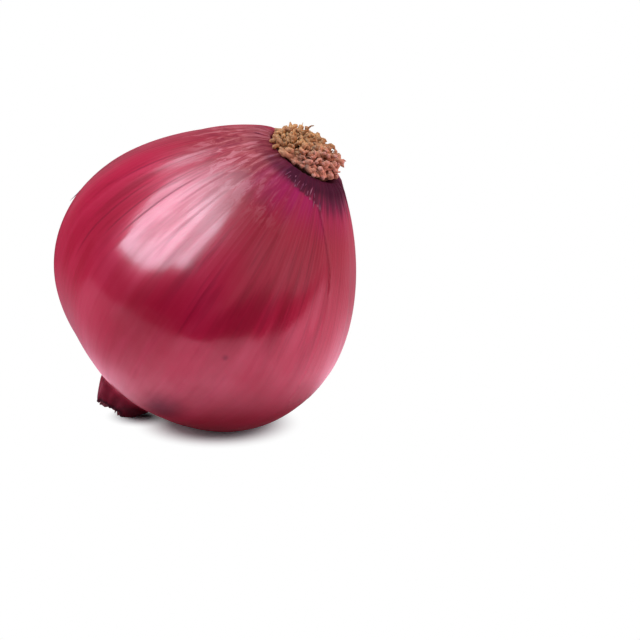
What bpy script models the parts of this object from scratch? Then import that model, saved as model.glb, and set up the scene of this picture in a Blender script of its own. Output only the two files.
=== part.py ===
"""One red onion, lying on its side with its dried neck down and its clipped roots up.

Units are metres, +Z is up, and the surface that the onion lies on is z = 0. The origin is the
middle of the small flat spot that the bulb rests on. The onion's own axis leans in the XZ plane,
with the root end towards +X. The bulb is one turned skin with broad waves, gathered in pleats
where it runs on into the neck. The root tuft is a corky plate with clipped rootlets fused to it,
and it sits in a shallow seat at the bulb's base.
"""

import math
import random

import bmesh
import bpy
from mathutils import Matrix, Vector
from mathutils.geometry import interpolate_bezier

# Driving dimensions of the bulb, along its own axis from the widest ring, roots positive
BULB_RADIUS = 0.0391
ROOT_REACH = 0.0470  # where the tapering root side would close without a root plate
ROOT_POWERS = (1.72, 1.40)  # fullness of the root side, along and across the axis
NECK_REACH = 0.0339  # where the flat shoulder would close without a neck
NECK_POWERS = (2.16, 1.95)
BELLY_SHIFT = -0.00105  # the middle of the bulb lies off the line from neck to roots
BELLY_SKEW = 0.56
BELLY_ENDS = (-0.037, 0.045)
BELLY_SPAN = 0.040

# The skin's upper rim and the seat for the root plate
COLLAR_AT = 0.0420
SEAT_RADIUS = 0.0086
SEAT_DEPTH = 0.0016
RIM_ROUNDING = 0.0004
TUFT_SHIFT = 0.0004

# The dried neck: a short tube that narrows and ends in a torn rim
SHOULDER_SHARE = 0.95  # share of NECK_REACH at which the skin turns out into the neck
SHOULDER_PULL = 0.0044
NECK_BASE_AT = -0.0366
NECK_BASE_RADIUS = 0.0072
NECK_BASE_PULL = Vector((0.0026, 0.0012))
NECK_TIP_AT = -0.0410
NECK_TIP_RADIUS = 0.0050
NECK_BORE_DEPTH = 0.0016
NECK_BORE_SHARES = (0.74, 0.40)
NECK_BEND = -0.0018
NECK_BEND_FROM = -0.0315
NECK_PRESSED = 0.84  # depth of the neck's tip from front to back, as a share of its height
TIP_TEARS = ((3, 0.0006, 4.7), (7, 0.0003, 2.0))

# How the onion lies
AXIS_LEAN = math.radians(55.6)  # the axis above the horizontal
CENTRE = Vector((-0.0041, 0.0010, 0.0348))

# Relief of the skin: waves round the bulb, height, phase, and drift in turns per metre of axis
BROAD_WAVES = (
    (2, 0.00037, 2.31, 0.0),
    (3, 0.00046, 3.93, 1.5),
    (5, 0.00044, 2.02, -2.0),
    (8, 0.00018, 4.83, 2.5),
    (13, 0.00010, 5.20, -3.0),
)
WAVES_FULL_FROM = 0.6 * BULB_RADIUS
PLEATS = ((14, 0.00040, 0.4), (18, 0.00022, 2.9))
PLEAT_TWIST = 40.0  # radians per metre of axis
PLEATS_END_AT = 0.024  # radius of the shoulder at which the pleats have died out
AROUND = 72
BODY_RINGS = 17
FILLET_RINGS = 6

# The root tuft
PLATE_RADIUS = 0.0082
PLATE_GAP = 0.0003  # clearance round the plate in its seat
PLATE_EDGE_AT = 0.0430
PLATE_CROWN = 0.0022
PLATE_AROUND = 36
ROOTLETS = 98
RIM_ROOTLETS = 26
ROOTLET_RADIUS = (0.00054, 0.00074)
ROOTLET_LENGTH = (0.0033, 0.0044)
ROOTLET_SIDES = 5
ROOTLET_STEPS = 3
ROOTLET_SUNK = 0.0012
ROOTLET_TAPER = 0.78
FOOT_INSET = 0.0006
RIM_SPLAY = math.radians(70)
SPLAY_SPREAD = math.radians(14)
SWEPT_TO = math.radians(60)  # the side on which the rootlets stand taller and more upright
SWEPT_SPLAY = math.radians(34)
SWEPT_LENGTH = 0.18
RIM_SHORTER = 0.12
RIM_ROW_LENGTH = (0.0024, 0.0032)
RIM_ROW_SPLAY = (math.radians(84), math.radians(102))
RIM_ROW_LEAN = math.radians(24)
CURL = math.radians(30)
GOLDEN_ANGLE = math.pi * (3 - math.sqrt(5))
SEED = 11

SKIN_COLOUR = (0.36, 0.022, 0.060, 1)
SKIN_ROUGHNESS = 0.32
ROOT_COLOUR = (0.34, 0.17, 0.065, 1)
ROOT_ROUGHNESS = 0.85
SAME_POINT = 1e-6


def clear_scene():
    for thing in list(bpy.data.objects):
        bpy.data.objects.remove(thing)


def smooth(x):
    x = min(max(x, 0.0), 1.0)
    return x * x * (3 - 2 * x)


def material(name, colour, roughness):
    made = bpy.data.materials.new(name)
    made.use_nodes = True
    shader = made.node_tree.nodes["Principled BSDF"]
    shader.inputs["Base Color"].default_value = colour
    shader.inputs["Roughness"].default_value = roughness
    shader.inputs["Metallic"].default_value = 0.0
    return made


def side_radius(along, reach, powers):
    """Radius of one side of the bulb, where (along/reach)^a + (radius/widest)^b = 1."""
    a, b = powers
    return BULB_RADIUS * max(1 - (abs(along) / reach) ** a, 0.0) ** (1 / b)


def belly_shift(along):
    """How far the middle of a ring lies off the straight line from neck to roots."""
    low, high = BELLY_ENDS
    shape = (1 - along / high) * (1 - along / low) * (1 + BELLY_SKEW * along / BELLY_SPAN)
    return BELLY_SHIFT * shape if low < along < high else 0.0


def seat_profile():
    """(along, radius) from the middle of the root seat's floor to the top of the skin's rim."""
    floor = COLLAR_AT - SEAT_DEPTH
    return [
        (floor, 0.0),
        (floor, SEAT_RADIUS),
        (COLLAR_AT - RIM_ROUNDING, SEAT_RADIUS),
        (COLLAR_AT, SEAT_RADIUS + RIM_ROUNDING),
    ]


def body_profile():
    """(along, radius) of the bulb from the skin's rim to where the shoulder turns into the neck."""
    points = []
    for i in range(BODY_RINGS + 1):
        along = COLLAR_AT * math.sin(math.pi / 2 * (1 - i / BODY_RINGS))
        points.append((along, side_radius(along, ROOT_REACH, ROOT_POWERS)))
    for i in range(1, BODY_RINGS + 1):
        along = -SHOULDER_SHARE * NECK_REACH * math.sin(math.pi / 2 * i / BODY_RINGS)
        points.append((along, side_radius(along, NECK_REACH, NECK_POWERS)))
    return points


def neck_profile(turn, before):
    """(along, radius) from the shoulder down the neck, over its rim and into its short bore."""
    heading = (Vector(turn) - Vector(before)).normalized()
    base = Vector((NECK_BASE_AT, NECK_BASE_RADIUS))
    fillet = interpolate_bezier(
        Vector(turn),
        Vector(turn) + heading * SHOULDER_PULL,
        base + NECK_BASE_PULL,
        base,
        FILLET_RINGS + 1,
    )
    lip, throat = NECK_BORE_SHARES
    bore_floor = NECK_TIP_AT + NECK_BORE_DEPTH
    half_way = (base + Vector((NECK_TIP_AT, NECK_TIP_RADIUS))) / 2
    return [(p.x, p.y) for p in fillet[1:]] + [
        (half_way.x, half_way.y),
        (NECK_TIP_AT, NECK_TIP_RADIUS),
        (NECK_TIP_AT, NECK_TIP_RADIUS * lip),
        (bore_floor, NECK_TIP_RADIUS * throat),
        (bore_floor, 0.0),
    ]


def relief(angle, along, radius):
    """Height of the skin's broad waves, and of the pleats that run into the neck."""
    broad = smooth(radius / WAVES_FULL_FROM) * sum(
        height * math.cos(count * angle + phase + 2 * math.pi * drift * along)
        for count, height, phase, drift in BROAD_WAVES
    )
    if along > 0:
        return broad
    gathered = 1 - smooth((radius - NECK_TIP_RADIUS) / (PLEATS_END_AT - NECK_TIP_RADIUS))
    gathered *= smooth(radius / NECK_TIP_RADIUS)
    return broad + gathered * sum(
        height * math.cos(count * angle + phase + PLEAT_TWIST * along)
        for count, height, phase in PLEATS
    )


def shaped(point):
    """A point of the plain turned skin, moved to where the grown skin has it."""
    along = point.z
    radius = math.hypot(point.x, point.y)
    angle = math.atan2(point.y, point.x)
    if along > 0 and radius < SEAT_RADIUS + 2 * RIM_ROUNDING:
        return point + Vector((TUFT_SHIFT, 0, 0))
    radius += relief(angle, along, radius)
    down_neck = smooth((along - NECK_BEND_FROM) / (NECK_TIP_AT - NECK_BEND_FROM))
    pressed = 1 + (NECK_PRESSED - 1) * down_neck
    at_rim = smooth((along - NECK_BASE_AT) / (NECK_TIP_AT - NECK_BASE_AT))
    torn = sum(depth * math.cos(count * angle + phase) for count, depth, phase in TIP_TEARS)
    return Vector((
        radius * math.cos(angle) + belly_shift(along) + NECK_BEND * down_neck,
        radius * math.sin(angle) * pressed,
        along + torn * at_rim,
    ))


def lying():
    """The matrix that carries the onion's own axis, +Z with the roots up, to how it lies."""
    turn = Matrix.Rotation(math.pi / 2 - AXIS_LEAN, 4, "Y")
    return Matrix.Translation(CENTRE) @ turn


def turned(profile, steps):
    """A closed shape turned about +Z from (along, radius) points that start and end on the axis."""
    bm = bmesh.new()
    chain = [bm.verts.new((radius, 0, along)) for along, radius in profile]
    edges = [bm.edges.new(pair) for pair in zip(chain, chain[1:])]
    bmesh.ops.spin(
        bm,
        geom=chain + edges,
        cent=(0, 0, 0),
        axis=(0, 0, 1),
        angle=2 * math.pi,
        steps=steps,
        use_merge=True,
    )
    bmesh.ops.remove_doubles(bm, verts=bm.verts, dist=SAME_POINT)
    bmesh.ops.recalc_face_normals(bm, faces=bm.faces)
    return bm


def object_from(bm, name, collection, axis):
    mesh = bpy.data.meshes.new(name)
    bm.to_mesh(mesh)
    bm.free()
    made = bpy.data.objects.new(name, mesh)
    made.parent = axis
    collection.objects.link(made)
    return made


def press_flat(bm):
    """Cuts the skin level where the bulb and the neck's rim press on the surface."""
    to_own_axis = lying().inverted()
    cut = bmesh.ops.bisect_plane(
        bm,
        geom=bm.verts[:] + bm.edges[:] + bm.faces[:],
        plane_co=to_own_axis.translation,
        plane_no=to_own_axis.to_3x3() @ Vector((0, 0, 1)),
        dist=SAME_POINT,
        clear_inner=True,
    )
    rims = [part for part in cut["geom_cut"] if isinstance(part, bmesh.types.BMEdge)]
    bmesh.ops.holes_fill(bm, edges=rims)
    bmesh.ops.recalc_face_normals(bm, faces=bm.faces)


def make_bulb(collection, axis, finish):
    body = body_profile()
    bm = turned(seat_profile() + body + neck_profile(body[-1], body[-2]), AROUND)
    for vertex in bm.verts:
        vertex.co = shaped(vertex.co)
    press_flat(bm)
    bulb = object_from(bm, "bulb", collection, axis)
    bulb.data.shade_smooth()
    bulb.data.set_sharp_from_angle(angle=math.radians(50))
    bulb.data.materials.append(finish)


def make_rootlet(foot, heading, length, radius, draw):
    """One clipped rootlet: a thin tube that starts inside the plate and curls as it grows."""
    bm = bmesh.new()
    aim = heading.to_track_quat("Z", "Y").to_matrix().to_4x4()
    bmesh.ops.create_circle(
        bm,
        cap_ends=True,
        segments=ROOTLET_SIDES,
        radius=radius,
        matrix=Matrix.Translation(foot) @ aim,
    )
    face = bm.faces[:][0]
    curl_axis = Vector(draw.uniform(-1, 1) for _ in range(3)).normalized()
    lowest = COLLAR_AT + PLATE_GAP + radius
    centre = foot.copy()
    for i in range(ROOTLET_STEPS):
        grown = bmesh.ops.extrude_face_region(bm, geom=[face])["geom"]
        if i:
            bmesh.ops.delete(bm, geom=[face], context="FACES_ONLY")
        face = next(part for part in grown if isinstance(part, bmesh.types.BMFace))
        step = heading * (length / ROOTLET_STEPS + (ROOTLET_SUNK if i == 0 else 0))
        step.z = max(step.z, lowest - centre.z)
        centre += step
        bend = Matrix.Rotation(CURL * draw.uniform(0.4, 1.2), 3, curl_axis)
        bmesh.ops.translate(bm, verts=face.verts, vec=step)
        bmesh.ops.rotate(bm, verts=face.verts, cent=centre, matrix=bend)
        heading = bend @ heading
    bmesh.ops.scale(
        bm, verts=face.verts, vec=(ROOTLET_TAPER,) * 3, space=Matrix.Translation(-centre)
    )
    bmesh.ops.triangulate(bm, faces=bm.faces)
    bmesh.ops.recalc_face_normals(bm, faces=bm.faces)
    return bm


def plant_rootlets(collection, axis):
    """Rootlets spread evenly over the plate, upright in the middle, and a row lying over its rim."""
    draw = random.Random(SEED)

    def plant(name, turn, share, splay, aside, length):
        out = Vector((math.cos(turn), math.sin(turn), 0))
        way = Matrix.Rotation(aside, 3, "Z") @ out
        heading = way * math.sin(splay) + Vector((0, 0, math.cos(splay)))
        foot = out * (PLATE_RADIUS - FOOT_INSET) * share + Vector((TUFT_SHIFT, 0, 0))
        foot.z = PLATE_EDGE_AT + PLATE_CROWN * (1 - share**2)
        radius = draw.uniform(*ROOTLET_RADIUS)
        bm = make_rootlet(foot - heading * ROOTLET_SUNK, heading, length, radius, draw)
        object_from(bm, name, collection, axis)

    for i in range(ROOTLETS):
        share = math.sqrt((i + 0.5) / ROOTLETS)
        turn = i * GOLDEN_ANGLE + draw.uniform(-0.2, 0.2)
        swept = math.cos(turn - SWEPT_TO)
        splay = (RIM_SPLAY - SWEPT_SPLAY * swept) * share**2
        splay += draw.uniform(-SPLAY_SPREAD, SPLAY_SPREAD)
        length = draw.uniform(*ROOTLET_LENGTH) * (1 - RIM_SHORTER * share**2)
        length *= 1 + SWEPT_LENGTH * swept * share
        plant(f"rootlet_{i:03d}", turn, share, splay, 0, length)
    for i in range(RIM_ROOTLETS):
        turn = 2 * math.pi * (i + draw.uniform(-0.3, 0.3)) / RIM_ROOTLETS
        splay = draw.uniform(*RIM_ROW_SPLAY)
        aside = draw.uniform(-RIM_ROW_LEAN, RIM_ROW_LEAN)
        length = draw.uniform(*RIM_ROW_LENGTH)
        plant(f"rim_rootlet_{i:02d}", turn, 1, splay, aside, length)


def keep_largest_shell(mesh):
    """Drops loose scraps, and fills the small hollows that crossing rootlets close off."""
    bm = bmesh.new()
    bm.from_mesh(mesh)
    left = set(bm.verts)
    shells = []
    while left:
        reached = [left.pop()]
        shell = set(reached)
        while reached:
            vertex = reached.pop()
            near = {edge.other_vert(vertex) for edge in vertex.link_edges} - shell
            shell |= near
            left -= near
            reached += near
        shells.append(shell)
    shells.sort(key=len)
    for scrap in shells[:-1]:
        bmesh.ops.delete(bm, geom=list(scrap), context="VERTS")
    bm.to_mesh(mesh)
    bm.free()


def make_root_tuft(collection, axis, finish):
    floor = COLLAR_AT - SEAT_DEPTH + PLATE_GAP
    profile = [
        (PLATE_EDGE_AT + PLATE_CROWN, 0.0),
        (PLATE_EDGE_AT + 0.72 * PLATE_CROWN, 0.55 * PLATE_RADIUS),
        (PLATE_EDGE_AT, 0.94 * PLATE_RADIUS),
        (PLATE_EDGE_AT - RIM_ROUNDING, PLATE_RADIUS),
        (floor, PLATE_RADIUS),
        (floor, 0.0),
    ]
    bm = turned(profile, PLATE_AROUND)
    bmesh.ops.translate(bm, verts=bm.verts, vec=(TUFT_SHIFT, 0, 0))
    tuft = object_from(bm, "root_tuft", collection, axis)

    rootlets = bpy.data.collections.new("rootlets")
    bpy.context.scene.collection.children.link(rootlets)
    plant_rootlets(rootlets, axis)
    fuse = tuft.modifiers.new("fuse_rootlets", "BOOLEAN")
    fuse.operation = "UNION"
    fuse.operand_type = "COLLECTION"
    fuse.collection = rootlets
    fuse.solver = "MANIFOLD"
    bpy.context.view_layer.update()
    graph = bpy.context.evaluated_depsgraph_get()
    fused = bpy.data.meshes.new_from_object(tuft.evaluated_get(graph))
    tuft.modifiers.clear()
    keep_largest_shell(fused)
    fused.shade_smooth()
    fused.set_sharp_from_angle(angle=math.radians(50))
    fused.materials.clear()
    fused.materials.append(finish)
    tuft.data = fused
    for rootlet in list(rootlets.objects):
        bpy.data.objects.remove(rootlet)
    bpy.data.collections.remove(rootlets)


def main():
    clear_scene()
    onion = bpy.data.collections.new("red_onion")
    bpy.context.scene.collection.children.link(onion)
    axis = bpy.data.objects.new("onion_axis", None)
    axis.matrix_world = lying()
    onion.objects.link(axis)
    make_bulb(onion, axis, material("onion_skin", SKIN_COLOUR, SKIN_ROUGHNESS))
    make_root_tuft(onion, axis, material("dry_root", ROOT_COLOUR, ROOT_ROUGHNESS))


main()
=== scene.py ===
# %% [markdown]
# A whole red onion on a pale table, seen from a little above. It lies on its side, with the dried
# neck down at the left and the clipped roots up at the right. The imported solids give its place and
# size. This lesson dresses them: a fine skin with veins and folds, torn papery layers at the neck,
# a corky root plate with its matted rootlets, and a glossy layered finish.

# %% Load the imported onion
import functools
import math
import random

import bmesh
import bpy
import numpy as np
from mathutils import Matrix, Vector, noise
from mathutils.geometry import interpolate_bezier


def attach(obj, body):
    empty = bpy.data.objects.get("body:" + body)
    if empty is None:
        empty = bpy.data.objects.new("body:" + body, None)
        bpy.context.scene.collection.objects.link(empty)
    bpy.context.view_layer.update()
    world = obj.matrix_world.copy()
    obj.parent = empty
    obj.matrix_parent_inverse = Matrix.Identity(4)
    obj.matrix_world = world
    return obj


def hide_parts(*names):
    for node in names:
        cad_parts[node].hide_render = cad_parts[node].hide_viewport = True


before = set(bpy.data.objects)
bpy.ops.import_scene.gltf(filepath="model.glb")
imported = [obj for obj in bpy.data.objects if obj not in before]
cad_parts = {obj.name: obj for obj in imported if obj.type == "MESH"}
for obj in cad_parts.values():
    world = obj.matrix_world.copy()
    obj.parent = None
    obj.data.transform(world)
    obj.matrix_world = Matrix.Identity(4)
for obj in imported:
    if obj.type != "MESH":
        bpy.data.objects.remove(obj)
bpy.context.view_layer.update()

# %% [markdown]
# An onion is easiest to build upright, about its own axis, with the roots at the top, and to lay
# down at the end. These are the part's own dimensions, so that the fine skin sits exactly where
# the solid bulb is. Lengths are in metres, and distances along the axis count from the widest ring.

# %% The onion's own dimensions
BULB_RADIUS = 0.0391
ROOT_REACH = 0.0470
ROOT_POWERS = (1.72, 1.40)
NECK_REACH = 0.0339
NECK_POWERS = (2.16, 1.95)
BELLY_SHIFT = -0.00105
BELLY_SKEW = 0.56
BELLY_ENDS = (-0.037, 0.045)
BELLY_SPAN = 0.040
BROAD_WAVES = (
    (2, 0.00037, 2.31, 0.0),
    (3, 0.00046, 3.93, 1.5),
    (5, 0.00044, 2.02, -2.0),
    (8, 0.00018, 4.83, 2.5),
    (13, 0.00010, 5.20, -3.0),
)
WAVES_FULL_FROM = 0.6 * BULB_RADIUS
TUFT_SHIFT = 0.0004
AXIS_LEAN = math.radians(55.6)
CENTRE = Vector((-0.0041, 0.0010, 0.0348))
LYING = Matrix.Translation(CENTRE) @ Matrix.Rotation(math.pi / 2 - AXIS_LEAN, 4, "Y")
SAME_POINT = 1e-6
print(f"{2000 * BULB_RADIUS:.1f} mm across, leaning {math.degrees(AXIS_LEAN):.1f} degrees")

# %% [markdown]
# The camera looks from the front, a little from the right and from above, through a long lens. It
# is turned a little to the right of the onion, so that the onion stands left of the middle of the
# picture. The lens isn't shifted, so every other view that uses this camera stays centred.

# %% Camera
PICTURE = 640
SENSOR = 36.0
VIEW_TURN = math.radians(10.9)
VIEW_RISE = math.radians(16.0)
VIEW_DISTANCE = 0.9
PIXELS_PER_METRE = 3970.0
ONION_AT = (209.0, 286.4)

focal_pixels = PIXELS_PER_METRE * VIEW_DISTANCE
towards_camera = Vector((
    math.sin(VIEW_TURN) * math.cos(VIEW_RISE),
    -math.cos(VIEW_TURN) * math.cos(VIEW_RISE),
    math.sin(VIEW_RISE),
))
straight = (-towards_camera).to_track_quat("-Z", "Y")
middle = PICTURE / 2
to_onion = Vector((ONION_AT[0] - middle, middle - ONION_AT[1], -focal_pixels))
lens = bpy.data.cameras.new("lens")
lens.sensor_width = SENSOR
lens.lens = focal_pixels * SENSOR / PICTURE
camera = bpy.data.objects.new("camera", lens)
camera.location = CENTRE + towards_camera * VIEW_DISTANCE
camera.rotation_mode = "QUATERNION"
camera.rotation_quaternion = straight @ to_onion.rotation_difference(Vector((0, 0, -1)))
bpy.context.scene.collection.objects.link(camera)
bpy.context.scene.camera = camera
print(f"lens of {lens.lens:.0f} mm, {VIEW_DISTANCE} m from the onion")

# %% [markdown]
# Every piece here is first a flat profile, turned once round the axis. The spin operator does
# that, and merging the doubles closes the seam and the poles. Normals are made to point outwards
# after that, because a spin can leave them inside out.

# %% Helpers for turned shapes and finished pieces
WEDGES = 12


def ramp(x, low, high):
    """A soft step from 0 at low to 1 at high, for one number or for a whole array."""
    x = np.clip((x - low) / (high - low), 0.0, 1.0)
    return x * x * (3 - 2 * x)


def round_place(angle, along, radius=1.0):
    """Points round the axis, as one array."""
    return np.stack([radius * np.cos(angle), radius * np.sin(angle), along], -1)


def turned(profile, steps):
    """A shape turned about +Z from (along, radius) points. One wedge is spun, then copied round."""
    bm = bmesh.new()
    chain = [bm.verts.new((radius, 0, along)) for along, radius in profile]
    edges = [bm.edges.new(pair) for pair in zip(chain, chain[1:])]
    wedge = 2 * math.pi / WEDGES
    about = {"cent": (0, 0, 0), "axis": (0, 0, 1)}
    bmesh.ops.spin(bm, geom=chain + edges, angle=wedge, steps=steps // WEDGES, **about)
    everything = bm.verts[:] + bm.edges[:] + bm.faces[:]
    rest = {"angle": 2 * math.pi - wedge, "steps": WEDGES - 1, "use_duplicate": True}
    bmesh.ops.spin(bm, geom=everything, **rest, **about)
    bmesh.ops.remove_doubles(bm, verts=bm.verts, dist=SAME_POINT)
    bmesh.ops.recalc_face_normals(bm, faces=bm.faces)
    return bm


def spaced(profile, count):
    """The same profile with its points spread evenly along it."""
    line = np.array(profile)
    walked = np.concatenate([[0], np.cumsum(np.hypot(*np.diff(line, axis=0).T))])
    stops = np.linspace(0, walked[-1], count)
    return list(zip(np.interp(stops, walked, line[:, 0]), np.interp(stops, walked, line[:, 1])))


def add_to(whole, part):
    """Puts one bmesh into another, by way of a mesh."""
    held = bpy.data.meshes.new("held")
    part.to_mesh(held)
    part.free()
    whole.from_mesh(held)
    bpy.data.meshes.remove(held)


def points_of(mesh):
    """A mesh's points, as one array."""
    flat = np.empty(len(mesh.vertices) * 3)
    mesh.vertices.foreach_get("co", flat)
    return flat.reshape(-1, 3)


def keep_value(mesh, name, values):
    """Stores one number, or one vector, for each point of a piece, for its material to read."""
    kind = "FLOAT_VECTOR" if values.ndim == 2 else "FLOAT"
    field = "vector" if values.ndim == 2 else "value"
    mesh.attributes.new(name, kind, "POINT").data.foreach_set(field, values.ravel())


def finished(name, mesh, finish, node):
    """Makes the piece with its finish, puts it with the onion's root and hides the solid it
    replaces.
    """
    mesh.materials.append(finish)
    piece = bpy.data.objects.new(name, mesh)
    bpy.context.scene.collection.objects.link(piece)
    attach(piece, "root")
    if node:
        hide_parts(node)
    mesh.calc_loop_triangles()
    print(f"{name}: {len(mesh.loop_triangles)} triangles")
    return piece


def lay_down(points):
    """Points of the upright onion, carried to where it lies, with none under the table."""
    turn = np.array(LYING)
    laid = points @ turn[:3, :3].T + turn[:3, 3]
    laid[:, 2] = np.maximum(laid[:, 2], 0)
    return laid


print(f"turned shapes are copied round in {WEDGES} wedges")

# %% [markdown]
# The outer skin follows the swelling of the fleshy layers under it. Its profile is fuller towards
# the neck and tapers towards the roots, and it ends in two places: it curls in under the root
# tuft, and it gathers in pleats at the neck. One long profile line runs from inside the root seat,
# over the bulb and down to the torn end of the neck.

# %% Profile of the skin
COLLAR_AT = 0.0420
SEAT_RADIUS = 0.0086
SHOULDER_SHARE = 0.95
SHOULDER_PULL = 0.0044
NECK_BASE_AT = -0.0366
NECK_BASE_RADIUS = 0.0077
NECK_BASE_PULL = Vector((0.0026, 0.0012))
NECK_TIP_AT = -0.0410
NECK_TIP_RADIUS = 0.0050
BODY_STEPS = 160
SKIN_AROUND = 432
SKIN_RINGS = 224
SKIN_ENDS_INSIDE = ((0.0392, 0.0060), (0.0399, 0.0079), (0.0408, 0.0085))
COLLAR_TOP = ((0.0417, 0.0092), (0.04205, 0.0101), (0.0416, 0.0112))
BODY_FROM = 0.0411
NECK_INSIDE = ((-0.0412, 0.0047), (-0.0404, 0.0042), (-0.0385, 0.0036), (-0.0368, 0.0022))


def side_radius(along, reach, powers):
    """Radius of one side of the bulb, where (along/reach)^a + (radius/widest)^b = 1."""
    a, b = powers
    return BULB_RADIUS * max(1 - (abs(along) / reach) ** a, 0.0) ** (1 / b)


def skin_profile():
    """(along, radius) from inside the root seat to inside the dried neck."""
    points = list(SKIN_ENDS_INSIDE + COLLAR_TOP)
    for i in range(BODY_STEPS + 1):
        along = BODY_FROM * math.sin(math.pi / 2 * (1 - i / BODY_STEPS))
        points.append((along, side_radius(along, ROOT_REACH, ROOT_POWERS)))
    for i in range(1, BODY_STEPS + 1):
        along = -SHOULDER_SHARE * NECK_REACH * math.sin(math.pi / 2 * i / BODY_STEPS)
        points.append((along, side_radius(along, NECK_REACH, NECK_POWERS)))
    turn = Vector(points[-1])
    heading = (turn - Vector(points[-2])).normalized()
    base = Vector((NECK_BASE_AT, NECK_BASE_RADIUS))
    fillet = interpolate_bezier(
        turn, turn + heading * SHOULDER_PULL, base + NECK_BASE_PULL, base, SKIN_RINGS
    )
    points += [(p.x, p.y) for p in fillet[1:]]
    points.append((NECK_TIP_AT, NECK_TIP_RADIUS))
    return points + list(NECK_INSIDE)


profile = spaced(skin_profile(), SKIN_RINGS)
print(f"the skin's profile is {len(profile)} points, {SKIN_AROUND} to a ring")

# %% [markdown]
# A turned skin is far too regular. A real one has broad waves, flat panels between soft ridges
# that run from root to neck, a vein every two or three millimetres, folds where it gathers at both
# ends, and shallow dents. Each is a formula of the angle round the axis and the place along it,
# and each moves the points in or out by a fraction of a millimetre.

# %% Ridges along the skin
RIDGES = (
    (231, 0.5, 0.00030), (257, -0.3, 0.00042), (279, 0.1, 0.00014), (301, -0.2, 0.00022),
    (322, 0.2, 0.00014), (349, -0.1, 0.00028), (16, 0.3, 0.00020), (43, -0.2, 0.00034),
    (68, 0.2, 0.00018), (96, -0.3, 0.00030), (124, 0.1, 0.00022), (147, 0.3, 0.00036),
    (176, -0.2, 0.00024), (204, 0.2, 0.00020),
)
RIDGE_WIDTH = 0.0034
RIDGE_CREST = 0.0005
RIDGE_DRIFT = 0.4
RIDGE_FADES = ((-0.030, -0.012), (0.004, 0.022))
RIDGE_AT_NECK = 0.55


def noise_on(points, scale, offset=0.0):
    """Smooth noise, about -1 to 1, at each point."""
    shift = Vector((offset, offset, offset))
    return np.array([noise.noise(Vector(p) * scale + shift) for p in points])


def skin_noise(angle, along, layers):
    """Noise that runs with the skin. A layer is its height, stretch, scale and offset."""
    return sum(
        height * noise_on(round_place(angle, along * stretch), scale, offset)
        for height, stretch, scale, offset in layers
    )


def ridge_relief(angle, along, radius):
    """Soft ridges from root to neck, with flat panels between them."""
    height = np.zeros_like(angle)
    for degrees, drift, tall in RIDGES:
        at = math.radians(degrees) + drift * along / BULB_RADIUS * RIDGE_DRIFT
        aside = (angle - at + math.pi) % (2 * math.pi) - math.pi
        away = np.hypot(aside * radius, RIDGE_CREST)
        height += tall * np.exp(-away / RIDGE_WIDTH)
    neck_fade, root_fade = RIDGE_FADES
    to_root = RIDGE_AT_NECK + (1 - RIDGE_AT_NECK) * ramp(along, *root_fade)
    return height * ramp(along, *neck_fade) * to_root


print(f"{len(RIDGES)} ridges")

# %% [markdown]
# The outermost skin is left only in places, and its edges are torn. A patch is a range of turns and
# of places along the axis. Noises make its border ragged across the fibres and toothed along them,
# it slants and flares near the roots, and its very edge curls up a little.

# %% Patches of loose outer skin
TUNIC_TURNS_BACK = math.radians(300)
TUNIC_PATCHES = ((309, 389, -0.004, 0.060, 37), (62, 150, -0.060, 0.019, 0))
TUNIC_SLANTS_FROM = 0.0385
TUNIC_MOST_SLANT = math.radians(19)
TUNIC_FLARE = math.radians(46)
TUNIC_FLARES = (0.0376, 0.0412)
TUNIC_EDGE = 0.00045
TUNIC_CURL_WIDTH = 0.0009
TEAR_ACROSS = 0.0016
TEAR_NOISE = ((1.0, 14, 3.2, 40.0),)
TEAR_ALONG = 0.0045
TOOTH_NOISE = ((1.0, 2, 4.0, 50.0), (0.5, 2, 22.0, 60.0))


def tunic_on(angle, along):
    """Where the loose outermost skin is left, from 0 to 1, and where its torn edge runs."""
    ragged = TEAR_ACROSS * skin_noise(angle, along, TEAR_NOISE)
    teeth = TEAR_ALONG * skin_noise(angle, along, TOOTH_NOISE)
    inside = np.full_like(angle, -1.0)
    flare = TUNIC_FLARE * ramp(along, *TUNIC_FLARES)
    below = np.maximum(TUNIC_SLANTS_FROM - along, 0)
    for start, end, low, high, slant in TUNIC_PATCHES:
        from_start = (angle - math.radians(start)) % (2 * math.pi)
        from_start -= 2 * math.pi * (from_start > TUNIC_TURNS_BACK)
        drawn_in = TUNIC_MOST_SLANT * np.tanh(slant * below / TUNIC_MOST_SLANT)
        drawn_in -= flare * (slant > 0)
        to_end = math.radians(end - start) - from_start
        across = np.minimum(from_start - drawn_in, to_end) * BULB_RADIUS + ragged
        lengthwise = np.minimum(along - low, high - along) + teeth
        inside = np.maximum(inside, np.minimum(across, lengthwise))
    edge = np.exp(-((inside / TUNIC_CURL_WIDTH) ** 2)) * np.where(inside > 0, 1.0, -1.0)
    return ramp(inside, -TUNIC_EDGE / 2, TUNIC_EDGE / 2), edge


print(f"{len(TUNIC_PATCHES)} patches of loose outer skin")

# %% [markdown]
# The skin is drawn in at both ends. Round the roots it lies in many small folds, and at the neck it
# gathers in a few deep pleats that twist as they run out along it.

# %% Folds at both ends
ROOT_FOLDS = ((46, 0.00016, 0.7), (29, 0.00014, 2.9), (71, 0.00007, 5.0))
ROOT_FOLDS_FROM = 0.023
ROOT_FOLDS_END = (0.0075, 0.0105)
PLEATS = ((3, 0.00040, 2.7), (5, 0.00034, 0.4), (11, 0.00012, 2.9))
PLEAT_TWIST = 40.0
PLEATS_END_AT = 0.024
NECK_FOLD = 0.00050
NECK_FOLD_NOISE = ((1.0, 40, 3.2, 21.0),)


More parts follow.
